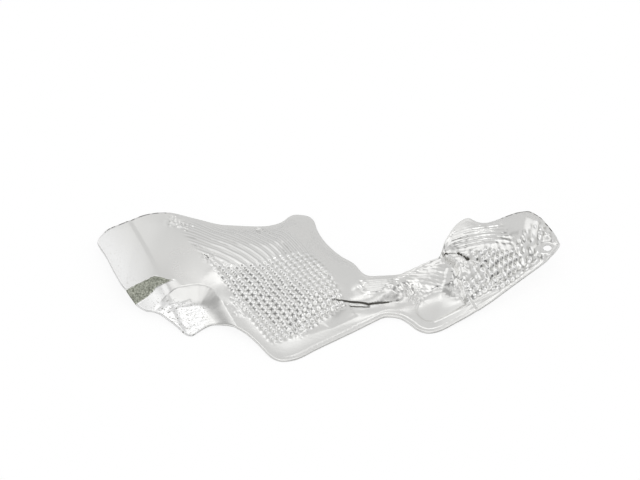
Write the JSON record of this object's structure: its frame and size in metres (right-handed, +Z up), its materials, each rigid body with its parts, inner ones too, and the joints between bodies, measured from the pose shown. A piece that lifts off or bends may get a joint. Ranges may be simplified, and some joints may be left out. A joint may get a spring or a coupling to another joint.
{
  "type": "heat shield",
  "caption": "Pressed and embossed aluminium heat shield with a domed body, a low tab, a neck and a raised hood, hemmed all round and bored for a bolt at one end.",
  "frame": {"origin": "middle of the footprint, on the surface that the shield lies on", "axes": "+X along the length towards the end with the bolt hole, +Y from the front flange to the back edge, +Z up"},
  "size_m": [0.458, 0.2139, 0.0472],
  "materials": {
    "aluminium_sheet": "bright rolled aluminium sheet, embossed with small bumps, hemmed"
  },
  "bodies": {
    "root": {"heat_shield": "aluminium_sheet"}
  },
  "joints": []
}
